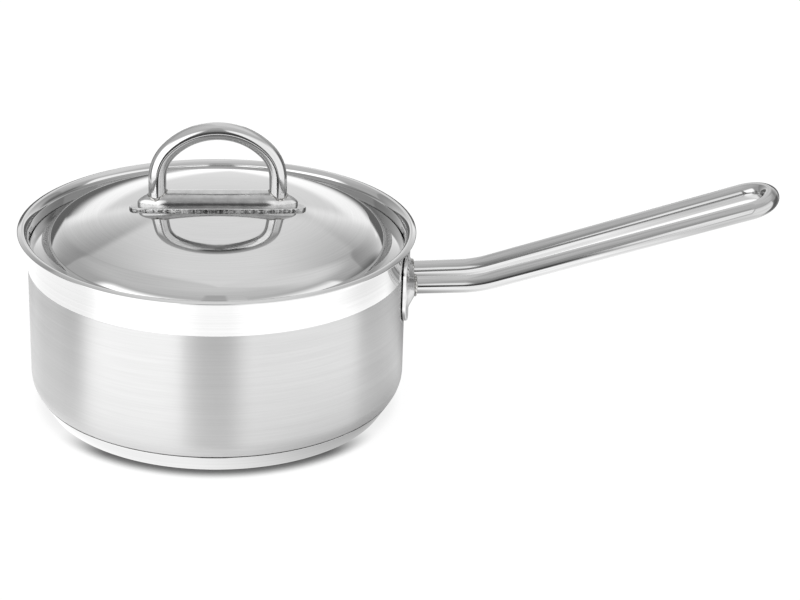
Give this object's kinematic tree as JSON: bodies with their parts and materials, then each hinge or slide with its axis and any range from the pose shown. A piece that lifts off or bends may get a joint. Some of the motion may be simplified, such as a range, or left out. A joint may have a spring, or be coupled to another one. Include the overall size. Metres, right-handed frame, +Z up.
{
  "type": "saucepan with lid",
  "caption": "Steel saucepan with a flared lip, a long looped bar handle and a recessed domed steel lid that lifts off by an arched bar handle.",
  "frame": {"origin": "centre of the base, on the plane the pan stands on", "axes": "+X along the long handle, away from the pan; +Z up, the way the lid lifts; the lid's arch runs along X"},
  "size_m": [0.3268, 0.1696, 0.1259],
  "materials": {
    "pan_steel": "satin side brushed round the pan, polished rim and lip",
    "core_aluminium": "plain rolled",
    "capsule_steel": "polished side, turned underside",
    "bracket_steel": "polished",
    "bar_steel": "polished along the bar",
    "lid_steel": "mirror polished",
    "plate_steel": "polished",
    "weld_steel": "dull weld metal"
  },
  "bodies": {
    "pan": {"pan_body": "pan_steel", "base_core": "core_aluminium", "base_capsule": "capsule_steel", "handle_bracket": "bracket_steel", "bracket_welds": "weld_steel", "handle_bar": "bar_steel", "bar_weld_beads": "weld_steel"},
    "lid": {"lid_shell": "lid_steel", "lid_plate": "plate_steel", "lid_arch": "bar_steel", "arch_weld_beads": "weld_steel"}
  },
  "joints": [
    {"name": "lid_lift", "type": "slide", "parent": "pan", "child": "lid", "axis": [0, 0, 1], "range_m": [0, 0.12]}
  ]
}
